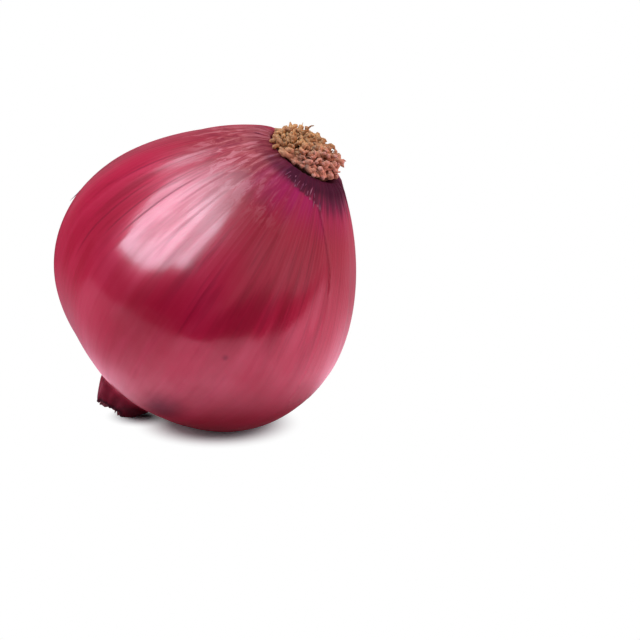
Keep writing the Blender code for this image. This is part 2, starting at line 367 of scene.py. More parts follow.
def end_folds(angle, along, radius):
    """Small folds where the skin is drawn in at the roots, and deep pleats at the neck."""
    near_root = (1 - ramp(radius, SEAT_RADIUS, ROOT_FOLDS_FROM)) * ramp(radius, *ROOT_FOLDS_END)
    out = near_root * (along > 0) * sum(h * np.cos(n * angle + p) for n, h, p in ROOT_FOLDS)
    gathered = 1 - ramp(radius, NECK_TIP_RADIUS, PLEATS_END_AT)
    gathered = gathered * ramp(radius, 0, NECK_TIP_RADIUS) * (along <= 0)
    twisted = angle + PLEAT_TWIST * along
    out += gathered * sum(h * np.cos(n * angle + p + PLEAT_TWIST * along) for n, h, p in PLEATS)
    return out + NECK_FOLD * gathered * skin_noise(twisted, along, NECK_FOLD_NOISE)


print(f"{len(ROOT_FOLDS)} waves of folds at the roots and {len(PLEATS)} of pleats at the neck")

# %% [markdown]
# All the relief is added up: the broad waves that the solid bulb has too, the ridges, the thickness
# of the loose skin, the veins, the dents and the folds. What would be too busy near a pole fades
# out towards the axis.

# %% All the relief together
VEIN_HEIGHT = 0.00003
VEIN_NOISE = ((1.0, 6, 9.0, 0.0), (0.8, 6, 17.0, 5.0))
VEINS_FADE_OVER = 0.012
DENT_SIZE = 0.016
DENT_DEPTH = 0.00022
DENTS_FADE = (0.010, 0.022)
TUNIC_THICK = 0.00013
TUNIC_CURL = 0.00016
TUNIC_FADES = ((0.010, 0.016), (0.008, 0.032))
TUNIC_AT_BELLY = 0.4


def skin_relief(angle, along, radius):
    """How far each point of the plain turned skin moves out."""
    out = ramp(radius, 0, WAVES_FULL_FROM) * sum(
        height * np.cos(count * angle + phase + 2 * math.pi * drift * along)
        for count, height, phase, drift in BROAD_WAVES
    )
    out += ridge_relief(angle, along, radius)
    left, edge = tunic_on(angle, along)
    by_radius, by_place = TUNIC_FADES
    stands = TUNIC_AT_BELLY + (1 - TUNIC_AT_BELLY) * ramp(along, *by_place)
    thick = TUNIC_THICK * left + TUNIC_CURL * np.maximum(edge, 0)
    out += thick * ramp(radius, *by_radius) * stands
    veins = VEIN_HEIGHT * skin_noise(angle, along, VEIN_NOISE)
    out += veins * ramp(radius, NECK_TIP_RADIUS, NECK_TIP_RADIUS + VEINS_FADE_OVER)
    dents = noise_on(round_place(angle, along, radius), 1 / DENT_SIZE, 3.0)
    out += DENT_DEPTH * dents * ramp(radius, *DENTS_FADE)
    return out + end_folds(angle, along, radius)


print(f"veins of {1e6 * VEIN_HEIGHT:.0f} microns, loose skin of {1e6 * TUNIC_THICK:.0f}")

# %% [markdown]
# A real bulb isn't quite straight either. Its belly lies a little to one side, and its neck bends,
# is pressed flat and is torn at the tip. One function does this with the relief, because the
# scraps and the papery layers have to follow the skin wherever it went.

# %% The grown form
NECK_BEND = -0.0018
NECK_BEND_FROM = -0.0315
NECK_PRESSED = 0.84
TIP_TEARS = ((3, 0.0006, 4.7), (7, 0.0003, 2.0), (17, 0.00012, 0.6))
TIP_FRAY = 0.00022
TIP_FRAY_SCALE = 700.0
SEAT_SHIFTS = (0.0395, 0.0425)


def belly_shift(along):
    """How far the middle of a ring lies off the straight line from neck to roots."""
    low, high = BELLY_ENDS
    shape = (1 - along / high) * (1 - along / low) * (1 + BELLY_SKEW * along / BELLY_SPAN)
    return np.where((along > low) & (along < high), BELLY_SHIFT * shape, 0.0)


def grown(points):
    """The plain turned skin's points, moved to where the grown skin has them."""
    along = points[:, 2]
    angle = np.arctan2(points[:, 1], points[:, 0])
    radius = np.hypot(points[:, 0], points[:, 1])
    radius = radius + skin_relief(angle, along, radius)
    down_neck = ramp(along, NECK_BEND_FROM, NECK_TIP_AT)
    at_rim = ramp(along, NECK_BASE_AT, NECK_TIP_AT)
    torn = sum(depth * np.cos(count * angle + phase) for count, depth, phase in TIP_TEARS)
    torn += TIP_FRAY * noise_on(points, TIP_FRAY_SCALE, 7.0) * at_rim
    moved = round_place(angle, along + torn * at_rim, radius)
    moved[:, 0] += belly_shift(along) + NECK_BEND * down_neck
    moved[:, 0] += TUFT_SHIFT * ramp(along, *SEAT_SHIFTS)
    moved[:, 1] *= 1 + (NECK_PRESSED - 1) * down_neck
    return moved


print(f"the neck bends by {1000 * abs(NECK_BEND):.1f} mm")

# %% [markdown]
# The profile is spun into a plain skin, and every point is then moved by the relief. Two things
# are stored on the skin before that, for its finish to read: each point's turn and place along the
# axis, so that veins and streaks follow the onion, and where the loose outer skin is left.

# %% Turn the skin, grow it and lay it down
def make_skin(finish):
    """The whole skin as one piece, in place of the solid bulb."""
    bm = turned(profile, SKIN_AROUND)
    mesh = bpy.data.meshes.new("bulb_skin")
    bm.to_mesh(mesh)
    bm.free()
    plain = points_of(mesh)
    angle = np.arctan2(plain[:, 1], plain[:, 0])
    keep_value(mesh, "from_root", round_place(angle, plain[:, 2] / BULB_RADIUS))
    left, edge = tunic_on(angle, plain[:, 2])
    keep_value(mesh, "tunic", left)
    keep_value(mesh, "tunic_edge", edge)
    mesh.vertices.foreach_set("co", lay_down(grown(plain)).ravel())
    mesh.update()
    mesh.shade_smooth()
    return finished("bulb_skin", mesh, finish, "bulb")


print(f"the skin will have about {2 * SKIN_AROUND * SKIN_RINGS} triangles")

# %% [markdown]
# The finish of a red onion comes from its layers. Light passes through a clear outer skin, bounces
# off the coloured skins under it and comes back crimson, so the reflections of the room are
# crimson too, with a thin white shine on top. A Principled BSDF does this with a part of metallic
# for the coloured reflections and a coat for the white one.

# %% Helpers for nodes
def new_material(name):
    """A material with nodes, with its tree and its shader."""
    made = bpy.data.materials.new(name)
    made.use_nodes = True
    return made, made.node_tree, made.node_tree.nodes["Principled BSDF"]


def fill(tree, node, inputs):
    """Sets a node's sockets, or links those whose value is another node's output."""
    for name, value in inputs.items():
        socket = node.inputs[name]
        if isinstance(value, bpy.types.NodeSocket):
            tree.links.new(value, socket)
        else:
            socket.default_value = (*value, 1.0) if socket.type == "RGBA" else value


def put(tree, kind, inputs=None, **settings):
    """A new node with its settings and its sockets."""
    node = tree.nodes.new(kind)
    for name, value in settings.items():
        setattr(node, name, value)
    fill(tree, node, inputs or {})
    return node


def carried(tree, name, field="Fac"):
    """A value that the mesh carries at its points."""
    return put(tree, "ShaderNodeAttribute", attribute_name=name).outputs[field]


def object_place(tree):
    return put(tree, "ShaderNodeTexCoord").outputs["Object"]


def parts_of(tree, vector):
    """A vector's outputs X, Y and Z."""
    return put(tree, "ShaderNodeSeparateXYZ", {0: vector}).outputs


print("a material is a tree of nodes, each put in by one call")

# %% [markdown]
# A natural finish is many soft masks over one another. Each is a noise or a place on the skin that
# is taken through a soft step, masks are multiplied or the largest is taken, and each lets one
# tone over the colours below it.

# %% Helpers for masks and colours
def calc(tree, operation, *values):
    return put(tree, "ShaderNodeMath", dict(enumerate(values)), operation=operation).outputs[0]


def times(tree, *values):
    """Masks and numbers, multiplied together."""
    return functools.reduce(functools.partial(calc, tree, "MULTIPLY"), values)


def most(tree, *values):
    """The largest of these at each place."""
    return functools.reduce(functools.partial(calc, tree, "MAXIMUM"), values)


def less(tree, mask, share, whole=1.0):
    """The whole, less a share of the mask."""
    return calc(tree, "MULTIPLY_ADD", mask, -share, whole)


def distance(tree, place, centre):
    given = {0: place, 1: centre}
    return put(tree, "ShaderNodeVectorMath", given, operation="DISTANCE").outputs["Value"]


def soft_range(tree, value, low, high, out_low=0.0, out_high=1.0):
    """Goes softly from out_low to out_high while the value goes from low to high."""
    ends = {"From Min": low, "From Max": high, "To Min": out_low, "To Max": out_high}
    given = {"Value": value, **ends}
    return put(tree, "ShaderNodeMapRange", given, interpolation_type="SMOOTHSTEP").outputs[0]


def stirred(tree, vector, scale, detail=3.0, rough=0.55, stretch=1.0, curl=0.0):
    """Noise about 0.5, on coordinates whose Z is stretched first."""
    place = put(tree, "ShaderNodeMapping", {"Vector": vector, "Scale": (1, 1, stretch)}).outputs[0]
    given = {"Scale": scale, "Detail": detail, "Roughness": rough, "Distortion": curl}
    return put(tree, "ShaderNodeTexNoise", {"Vector": place, **given}).outputs["Fac"]


def tinted(tree, share, under, over):
    """One colour over another by a share."""
    node = put(tree, "ShaderNodeMix", data_type="RGBA")
    colours = [i for i, socket in enumerate(node.inputs) if socket.type == "RGBA"]
    fill(tree, node, dict(zip((0, *colours), (share, under, over))))
    return next(socket for socket in node.outputs if socket.type == "RGBA")


def layered(tree, colour, *layers):
    """Tones laid over a colour one after another. A layer is its share and its tone."""
    for share, tone in layers:
        colour = tinted(tree, share, colour, tone)
    return colour


print("a layer is a share and a tone")

# %% [markdown]
# Everything that has dried shows the same thing: two tones in soft patches. The skin at the neck,
# the rootlets, the scraps and the layers inside the neck all use it, so it is one node group with
# named inputs, and each material places it with its own size and colours.

# %% The patches of dry plant, as one node group
PATCH_INPUTS = (
    ("Place", "NodeSocketVector", (0.0, 0.0, 0.0)),
    ("Scale", "NodeSocketFloat", 260.0),
    ("Detail", "NodeSocketFloat", 3.0),
    ("Low", "NodeSocketFloat", 0.35),
    ("High", "NodeSocketFloat", 0.65),
    ("Under", "NodeSocketColor", (0.1, 0.1, 0.1, 1.0)),
    ("Over", "NodeSocketColor", (0.5, 0.5, 0.5, 1.0)),
)


def make_dry_patches():
    group = bpy.data.node_groups.new("dry_patches", "ShaderNodeTree")
    for name, kind, value in PATCH_INPUTS:
        group.interface.new_socket(name, in_out="INPUT", socket_type=kind).default_value = value
    group.interface.new_socket("Color", in_out="OUTPUT", socket_type="NodeSocketColor")
    given = put(group, "NodeGroupInput").outputs
    spots = put(group, "ShaderNodeTexNoise", {
        "Vector": given["Place"],
        "Scale": given["Scale"],
        "Detail": given["Detail"],
        "Roughness": 0.55,
    }).outputs["Fac"]
    share = soft_range(group, spots, given["Low"], given["High"])
    put(group, "NodeGroupOutput", {"Color": tinted(group, share, given["Under"], given["Over"])})
    return group


DRY_PATCHES = make_dry_patches()


def dry_patches(tree, place, under, over, **values):
    """The shared group, placed in one material with its own colours and values."""
    given = {"Place": place, "Under": under, "Over": over, **values}
    return put(tree, "ShaderNodeGroup", given, node_tree=DRY_PATCHES).outputs["Color"]


print("dry_patches has the inputs", [name for name, _, _ in PATCH_INPUTS])

# %% [markdown]
# The skin's own colours run from root to neck, in layers. They read two things that the skin
# carries with it: its turn and place along the axis, and where the loose outermost skin is left.
# Many layers read the same few noises, so that one streak is dark, dull and sunken in the same
# place. The veins are a cosine of the turn, sent a little astray by the noises.

# %% Onion skin: what its layers share
VEINS_ROUND = 150.0
VEIN_WANDER = 12.0


def facing_reach(tree, parts, degrees):
    """How far a place reaches towards this turn about the axis, from -1 to 1."""
    aim = math.radians(degrees)
    side = times(tree, parts["X"], math.cos(aim))
    return calc(tree, "MULTIPLY_ADD", parts["Y"], math.sin(aim), side)


def facing_turn(tree, parts, degrees, narrow, wide):
    """A mask round the axis: 1 at this angle, and 0 beyond the wide one."""
    low, high = math.cos(math.radians(wide)), math.cos(math.radians(narrow))
    return soft_range(tree, facing_reach(tree, parts, degrees), low, high)


skin_finish, tree, shader = new_material("onion_skin_finish")
spot = object_place(tree)
round_axis = carried(tree, "from_root", "Vector")
parts = parts_of(tree, round_axis)
along = parts["Z"]
tunic = carried(tree, "tunic")
frayed = carried(tree, "tunic_edge")
inner_edge = most(tree, frayed, 0.0)

broad = stirred(tree, round_axis, 2.2, 2.0, stretch=0.35)
streak = stirred(tree, round_axis, 8.0, 3.0, 0.5, 0.14)
fine = stirred(tree, round_axis, 30.0, 2.0, 0.5, 0.08)
cells = stirred(tree, round_axis, 90.0, 2.0, 0.6, 0.16)
crust = stirred(tree, round_axis, 13.0, 4.0, 0.6, 0.9, curl=0.7)
cloud = stirred(tree, spot, 70.0, 3.0, 0.6)

angle = calc(tree, "ARCTAN2", parts["Y"], parts["X"])
wander = times(tree, calc(tree, "ADD", streak, broad), VEIN_WANDER)
wave = calc(tree, "COSINE", calc(tree, "MULTIPLY_ADD", angle, VEINS_ROUND, wander))
vein = soft_range(tree, times(tree, wave, fine), 0.05, 0.60)
near_root = soft_range(tree, along, 0.45, 1.0)
upper = soft_range(tree, along, -0.15, 0.45, 0.25, 1.0)
print(f"{VEINS_ROUND:.0f} veins and six noises, in {len(tree.nodes)} nodes")

# %% [markdown]
# The ground is two crimsons in broad patches. Lighter clouds and streaks go over it, then darker
# streaks, the veins, which show more towards the roots, and the paler loose skin with its edge.

# %% Onion skin: crimson, streaks and veins
dark_streak = times(tree, upper, soft_range(tree, streak, 0.48, 0.32, 0, 0.50))
pale_vein = times(tree, vein, calc(tree, "MULTIPLY_ADD", near_root, 0.26, 0.015))
thin_line = times(
    tree, soft_range(tree, fine, 0.47, 0.32), soft_range(tree, along, -0.2, 0.8, 0.06, 0.42)
)
patches = soft_range(tree, broad, 0.35, 0.65)
colour = layered(
    tree,
    tinted(tree, patches, (0.38, 0.0025, 0.037), (0.45, 0.005, 0.053)),
    (soft_range(tree, cloud, 0.52, 0.75, 0, 0.20), (0.52, 0.02, 0.09)),
    (soft_range(tree, streak, 0.50, 0.68, 0, 0.30), (0.54, 0.03, 0.10)),
    (dark_streak, (0.20, 0.0015, 0.018)),
    (pale_vein, (0.50, 0.11, 0.17)),
    (thin_line, (0.14, 0.002, 0.022)),
    (times(tree, tunic, 0.45), (0.43, 0.036, 0.075)),
    (times(tree, inner_edge, 0.22), (0.52, 0.13, 0.17)),
)
print(f"the crimson ground brings it to {len(tree.nodes)} nodes")

# %% [markdown]
# A few creases run lengthwise where the skin dried against the layer under it. Each is a thin dark
# line at its own turn, from one place along the axis to another, and a noise makes it waver.

# %% Onion skin: creases
CREASES = (
    (230, 0.10, 0.85, 0.75), (223, 0.05, 0.98, 0.65), (216, -0.20, 0.60, 0.50),
    (237, 0.45, 0.95, 0.50), (246, 0.30, 0.90, 0.35), (264, 0.25, 0.80, 0.50),
    (272, -0.10, 0.60, 0.35), (205, 0.30, 0.98, 0.60), (310, 0.55, 1.00, 0.60),
    (190, 0.10, 0.90, 0.50), (20, 0.10, 0.98, 0.50), (44, -0.30, 0.80, 0.40),
    (78, 0.20, 0.95, 0.50), (117, -0.10, 0.80, 0.50), (150, 0.20, 0.95, 0.40),
    (301, 0.35, 0.90, 0.35),
)
CREASE_WIDTH = 0.013
CREASE_CORE = 0.2 * CREASE_WIDTH
CREASE_SWAY = 0.12
CREASE_TAPER = 0.2

creases = 0.0
for degrees, low, high, share in CREASES:
    aside = calc(tree, "SUBTRACT", angle, math.remainder(math.radians(degrees), math.tau))
    aside = calc(tree, "MULTIPLY_ADD", broad, CREASE_SWAY, aside)
    aside = calc(tree, "ABSOLUTE", calc(tree, "SUBTRACT", aside, CREASE_SWAY / 2))
    line = times(
        tree,
        soft_range(tree, aside, CREASE_WIDTH, CREASE_CORE, 0.0, share),
        soft_range(tree, along, low, low + CREASE_TAPER),
        soft_range(tree, along, high, high - CREASE_TAPER),
    )
    creases = most(tree, line, creases)
colour = tinted(tree, creases, colour, (0.15, 0.002, 0.022))
print(f"{len(CREASES)} creases")

# %% [markdown]
# Near the roots the skin has weathered differently all round. One side is tan, rough and flecked,
# the next is brown, and the last is purple, most of all where the loose skin has come away. Each
# is a mask that faces one turn about the axis and grows towards the roots.

# %% Onion skin: the weathered root end
def root_side(degrees, narrow, wide, low, high):
    """A mask on one side, that grows from low to high along the axis."""
    side = facing_turn(tree, parts, degrees, narrow, wide)
    return times(tree, side, soft_range(tree, along, low, high))


tan = times(
    tree, root_side(215, 30, 62, 0.50, 0.95), soft_range(tree, streak, 0.30, 0.60, 0.35, 0.85)
)
rough_side = root_side(225, 40, 72, 0.68, 0.93)
purple = times(
    tree,
    root_side(310, 25, 72, 0.78, 1.0),
    soft_range(tree, streak, 0.35, 0.65, 0.85, 0.40),
    less(tree, tunic, 0.45),
)
colour = layered(
    tree,
    colour,
    (tan, (0.28, 0.045, 0.055)),
    (times(tree, root_side(212, 40, 75, 0.86, 1.0), 0.40), (0.42, 0.13, 0.14)),
    (times(tree, rough_side, soft_range(tree, crust, 0.50, 0.38), 0.85), (0.22, 0.014, 0.036)),
    (times(tree, rough_side, soft_range(tree, crust, 0.51, 0.62), 0.60), (0.60, 0.22, 0.27)),
    (times(tree, root_side(300, 35, 80, 0.30, 0.75), 0.45), (0.26, 0.030, 0.040)),
    (purple, (0.37, 0.008, 0.13)),
)
print(f"the root end brings it to {len(tree.nodes)} nodes")

# %% [markdown]
# The loose skin is plum at its root end, its own colour darkened with painted shade under the tuft.
# Pale fibres run along its edge, with a painted shadow beside it, and the collar round the roots is
# painted nearly black: dark skin with painted shade in the recess under the tuft.

# %% Onion skin: torn edge, dark collar and painted shade
ragged = calc(tree, "MULTIPLY_ADD", streak, 0.17, along)
# Plum on the loose skin near the roots, partly its own colour and partly painted shade under the
# tuft.
plum_and_shade = times(
    tree,
    tunic,
    soft_range(tree, ragged, 1.00, 1.09),
    soft_range(tree, fine, 0.60, 0.48, 0.45, 1.0),
    0.85,
)
fibres = times(
    tree, soft_range(tree, fine, 0.44, 0.58), soft_range(tree, along, 0.90, 0.98), inner_edge
)
# A painted shadow beside the torn edge, on the skin outside the loose layer.
shaded = times(
    tree,
    most(tree, times(tree, frayed, -0.7), 0.0),
    soft_range(tree, cloud, 0.35, 0.65, 0.2, 1.0),
    soft_range(tree, along, 0.50, 0.95),
)
# Painted shade in the recess under the tuft: a near-black collar round the roots, strongest on one
# side.
shade_side = facing_turn(tree, parts, 320, 45, 110)
shade_side = calc(tree, "MULTIPLY_ADD", shade_side, 0.75, 0.25)
shaded_collar = times(tree, soft_range(tree, along, 0.985, 1.045), shade_side)
colour = layered(
    tree,
    colour,
    # Plum skin darkened with painted shade under the tuft.
    (plum_and_shade, (0.080, 0.006, 0.036)),
    (fibres, (0.46, 0.24, 0.34)),
    # The painted shadow beside the torn edge.
    (shaded, (0.10, 0.003, 0.022)),
    # The collar, painted nearly black as shade under the tuft.
    (times(tree, shaded_collar, 0.85), (0.05, 0.004, 0.022)),
)
print(f"the torn edge brings it to {len(tree.nodes)} nodes")

# %% [markdown]
# Last come a few dark smudges: small stains such as stored onions have, and a wide one low on the
# bulb beside the neck, which is partly a stain and partly painted shade where the bulb meets the
# neck and the table. Then comes the neck, where the skin has dried darker, and almost black at its
# torn end.

# %% Onion skin: smudges, painted shade and dried neck
# Small stains, and two wide smudges low on the bulb beside the neck that are partly painted shade.
STAINS_AND_SHADE = (
    (291, 0.0005, 0.035, 0.50), (286, -0.0235, 0.24, 0.70),
    (282, -0.0212, 0.15, 0.45), (120, 0.012, 0.05, 0.50),
)

stains_and_shade = 0.0
for degrees, place, size, share in STAINS_AND_SHADE:
    aim = math.radians(degrees)
    centre = (math.cos(aim), math.sin(aim), place / BULB_RADIUS)
    away = calc(tree, "MULTIPLY_ADD", cloud, size, distance(tree, round_axis, centre))
    near = times(tree, soft_range(tree, away, 1.5 * size, 0.5 * size), share)
    stains_and_shade = most(tree, near, stains_and_shade)
neck_side = soft_range(tree, along, -0.845, -0.925)
neck_tone = dry_patches(
    tree, spot, (0.085, 0.002, 0.013), (0.26, 0.015, 0.048), Scale=70.0, Low=0.40, High=0.62
)
neck_end = soft_range(tree, along, -1.012, -1.042)
neck_tone = tinted(tree, neck_end, neck_tone, (0.035, 0.001, 0.008))
# The smudges are stains, and in part painted shade low on the bulb beside the neck.
colour = layered(tree, colour, (stains_and_shade, (0.065, 0.004, 0.028)), (neck_side, neck_tone))
print(f"{len(STAINS_AND_SHADE)} smudges, and {len(tree.nodes)} nodes")

# %% [markdown]
# Gloss tells as much as colour. The dried parts are dull, and streaks, creases and smudges break
# the shine. Fine bumps catch the light along the veins, and coarse ones on the rough side. What
# changes over the skin is linked, and a number that is the same all over is set on the socket.

# %% Onion skin: shine and fine relief
dry = most(tree, neck_side, shaded_collar, tan)
dull = most(tree, dry, times(tree, near_root, 0.8), times(tree, tunic, 0.35))
matt = times(tree, upper, soft_range(tree, streak, 0.54, 0.36, 0.0, 0.36))
matt = calc(tree, "MULTIPLY_ADD", soft_range(tree, fine, 0.50, 0.36), 0.14, matt)
shine = times(
    tree,
    soft_range(tree, dull, 0.0, 1.0, 0.39, 0.03),
    soft_range(tree, cloud, 0.30, 0.70, 0.80, 1.12),
    less(tree, matt, 1.0, 1.06),
    less(tree, creases, 0.8),
    less(tree, stains_and_shade, 0.75),
)
rough = calc(tree, "MULTIPLY_ADD", dry, 0.20, soft_range(tree, streak, 0.3, 0.7, 0.36, 0.44))
lift = times(tree, streak, 0.5)
lift = calc(tree, "MULTIPLY_ADD", vein, 0.12, lift)
lift = calc(tree, "MULTIPLY_ADD", cells, 0.08, lift)
lift = times(tree, lift, soft_range(tree, along, 0.0, 0.9, 0.30, 1.0))
lift = calc(tree, "MULTIPLY_ADD", crust, times(tree, rough_side, 0.9), lift)
bump = put(tree, "ShaderNodeBump", {"Strength": 0.35, "Distance": 0.0005, "Height": lift})
fill(tree, shader, {
    "Base Color": colour,
    "Roughness": rough,
    "Metallic": soft_range(tree, dull, 0.0, 1.0, 0.07, 0.03),
    "Coat Weight": shine,
    "Normal": bump.outputs[0],
    "Specular IOR Level": 0.06,
    "Coat Roughness": 0.195,
    "Coat IOR": 1.8,
})
make_skin(skin_finish)

# %% [markdown]
# The roots of a picked onion are clipped short and dry into a matted tuft. They stand on a corky
# disc, the root plate. The plate is a turned dome, and each rootlet is a small circle that is
# extruded a few times while it curls and thins.

# %% Strands: one small circle, extruded along a path
def grow_strand(whole, path, radii, sides, flat=1.0, thin_way=None):
    """A closed strand along the path. Its points know how far they are from foot to tip."""
    bm = bmesh.new()
    to_tip = bm.verts.layers.float.new("to_tip")
    heading = (path[1] - path[0]).normalized()
    aim = heading.to_track_quat("Z", "Y").to_matrix()
    if thin_way is not None:
        side = thin_way.cross(heading).normalized()
        aim = Matrix((side, heading.cross(side), heading)).transposed()
    place = Matrix.Translation(path[0]) @ aim.to_4x4() @ Matrix.Scale(flat, 4, (0, 1, 0))
    bmesh.ops.create_circle(bm, cap_ends=True, segments=sides, radius=radii[0], matrix=place)
    face = bm.faces[:][0]
    last = len(path) - 1
    for i in range(1, last + 1):
        onward = (path[min(i + 1, last)] - path[i - 1]).normalized()
        bend = heading.rotation_difference(onward).to_matrix()
        heading = onward
        new_geom = bmesh.ops.extrude_face_region(bm, geom=[face])["geom"]
        if i > 1:
            bmesh.ops.delete(bm, geom=[face], context="FACES_ONLY")
        face = next(part for part in new_geom if isinstance(part, bmesh.types.BMFace))
        ring = face.verts
        bmesh.ops.translate(bm, verts=ring, vec=path[i] - path[i - 1])
        bmesh.ops.rotate(bm, verts=ring, cent=path[i], matrix=bend)
        grow = radii[i] / radii[i - 1]
        bmesh.ops.scale(bm, verts=ring, vec=(grow,) * 3, space=Matrix.Translation(-path[i]))
        for vert in ring:
            vert[to_tip] = i / last
    bmesh.ops.recalc_face_normals(bm, faces=bm.faces)
    add_to(whole, bm)


def laid_out(bm, name, finish, node=None):
    """Turns a finished upright bmesh into a piece that lies with the onion."""
    mesh = bpy.data.meshes.new(name)
    bm.to_mesh(mesh)
    bm.free()
    mesh.vertices.foreach_set("co", lay_down(points_of(mesh)).ravel())
    mesh.update()
    mesh.shade_smooth()
    return finished(name, mesh, finish, node)


print("a strand is one face, extruded along its path")

# %% [markdown]
# The root plate is the onion's true stem, a corky disc that the leaves and the roots grow from. Its
# profile is turned like the skin's, and a noise makes it lumpy where it shows.

# %% Root plate
ROOT_SEED = 11
PLATE_RADIUS = 0.0082
PLATE_EDGE_AT = 0.0430
PLATE_CROWN = 0.0030
PLATE_PROFILE = (
    (PLATE_EDGE_AT + PLATE_CROWN, 0.0),
    (PLATE_EDGE_AT + 0.72 * PLATE_CROWN, 0.55 * PLATE_RADIUS),
    (PLATE_EDGE_AT, 0.94 * PLATE_RADIUS),
    (PLATE_EDGE_AT - 0.0006, PLATE_RADIUS),
    (0.0412, 0.98 * PLATE_RADIUS),
    (0.0402, 0.90 * PLATE_RADIUS),
    (0.0402, 0.0),
)
PLATE_RINGS = 26
PLATE_AROUND = 96
PLATE_LUMPS = 0.00055
LUMP_SCALE = 620.0


def make_plate():
    bm = turned(spaced(PLATE_PROFILE, PLATE_RINGS), PLATE_AROUND)
    bm.verts.layers.float.new("to_tip")
    for vert in bm.verts:
        out = vert.co.normalized()
        lump = noise.noise(vert.co * LUMP_SCALE) * PLATE_LUMPS
        vert.co += Vector((out.x, out.y, 1)) * lump * (vert.co.z > COLLAR_AT)
    bmesh.ops.translate(bm, verts=bm.verts, vec=(TUFT_SHIFT, 0, 0))
    return bm


tuft = make_plate()
tuft_draw = random.Random(ROOT_SEED)
print(f"the root plate has {len(tuft.faces)} faces")

# %% [markdown]
# A rootlet starts inside the plate, so that no gap shows at its foot. It bends about one random
# axis, thins and swells a little, and it is kept above the skin, so that none cuts through it.

# %% How one rootlet grows
ROOTLET_STEPS = 7
ROOTLET_SIDES = 8
ROOTLET_SUNK = 0.0012
ROOTLET_SWELL = (0.82, 1.20)
ROOTLET_BENDS = (0.2, 1.4)
ROOTLET_TIP = 0.42
ROOTLET_CURL = math.radians(30)
FOOT_INSET = 0.0006
SKIN_NEAR_TUFT = 0.030


def curling_path(foot, heading, length, steps, curl, lowest, draw):
    """Points from inside the plate outwards, bending about one random axis."""
    axis = Vector(draw.uniform(-1, 1) for _ in range(3)).normalized()
    path = [foot - heading * ROOTLET_SUNK]
    for i in range(steps):
        reach = length / steps + (ROOTLET_SUNK if i == 0 else 0)
        ahead = path[-1] + heading * reach
        ahead.z = max(ahead.z, lowest(math.hypot(ahead.x - TUFT_SHIFT, ahead.y)))
        path.append(ahead)
        heading = Matrix.Rotation(curl * draw.uniform(*ROOTLET_BENDS), 3, axis) @ heading
    return path


def above_skin(clearance):
    """Gives the lowest place for a strand of this radius, at a distance from the axis."""
    line = [(r, a) for a, r in profile if a > SKIN_NEAR_TUFT and r > COLLAR_TOP[1][1]]
    distances, heights = zip(*sorted(line))
    return lambda away: float(np.interp(away, distances, heights)) + clearance


def planted(turn, share, splay, aside):
    """Foot and heading of a strand, at this turn and share of the plate's radius."""
    out = Vector((math.cos(turn), math.sin(turn), 0))
    way = Matrix.Rotation(aside, 3, "Z") @ out
    heading = way * math.sin(splay) + Vector((0, 0, math.cos(splay)))
    foot = out * (PLATE_RADIUS - FOOT_INSET) * share + Vector((TUFT_SHIFT, 0, 0))
    foot.z = PLATE_EDGE_AT + PLATE_CROWN * (1 - share**2)
    return foot, heading


def grow(turn, share, splay, aside, length, radius, curl=ROOTLET_CURL, sides=ROOTLET_SIDES):
    """Grows one rootlet on the tuft."""
    foot, heading = planted(turn, share, splay, aside)
    path = curling_path(foot, heading, length, ROOTLET_STEPS, curl, above_skin(radius), tuft_draw)
    radii = [radius * tuft_draw.uniform(*ROOTLET_SWELL) for _ in path]
    radii[-1] = radius * ROOTLET_TIP
    grow_strand(tuft, path, radii, sides)


print(f"a rootlet is {ROOTLET_SIDES} sides round and {ROOTLET_STEPS} steps long")

# %% [markdown]
# The rootlets stand over the whole dome, spread by the golden angle as seeds are on a flower head.
# They splay more towards the rim. On this onion one side of the tuft is swept out long and flat,
# and a few rootlets stand tall on the other.

# %% Rootlets over the dome
ROOTLETS = 235
ROOTLET_RADIUS = (0.00034, 0.00066)
ROOTLET_LENGTH = (0.0018, 0.0036)
GOLDEN_ANGLE = math.pi * (3 - math.sqrt(5))
TURN_SCATTER = 0.25
ASIDE_SCATTER = 0.8
RIM_SPLAY = math.radians(72)
SPLAY_SPREAD = math.radians(26)
SWEPT_TO = math.radians(38)
SWEPT_SPLAY = math.radians(34)
SWEPT_LENGTH = 0.36
TALL_AT = math.radians(172)
TALL_LENGTH = 0.42
TALL_SPLAY = 0.50


def either_way(reach):
    """A random number from minus this to plus this."""
    return tuft_draw.uniform(-reach, reach)


def towards(turn, middle_turn):
    """A narrow mask round the plate, 1 at the middle turn."""
    return max(math.cos(turn - middle_turn), 0) ** 4


for i in range(ROOTLETS):
    share = math.sqrt((i + 0.5) / ROOTLETS)
    turn = i * GOLDEN_ANGLE + either_way(TURN_SCATTER)
    swept = math.cos(turn - SWEPT_TO)
    tall = towards(turn, TALL_AT) * share
    splay = (RIM_SPLAY - SWEPT_SPLAY * swept) * share**2 * (1 - TALL_SPLAY * tall)
    splay += either_way(SPLAY_SPREAD)
    stretch = 1 + SWEPT_LENGTH * swept * share + TALL_LENGTH * tall
    length = tuft_draw.uniform(*ROOTLET_LENGTH) * stretch
    aside = either_way(ASIDE_SCATTER)
    grow(turn, share, splay, aside, length, tuft_draw.uniform(*ROOTLET_RADIUS))
print(f"{ROOTLETS} rootlets bring the tuft to {len(tuft.faces)} faces")

# %% [markdown]
# A row of stouter rootlets lies out over the rim of the plate and closes the tuft to the skin, and
# fine hairs fill it. One long thin spike stands out alone.

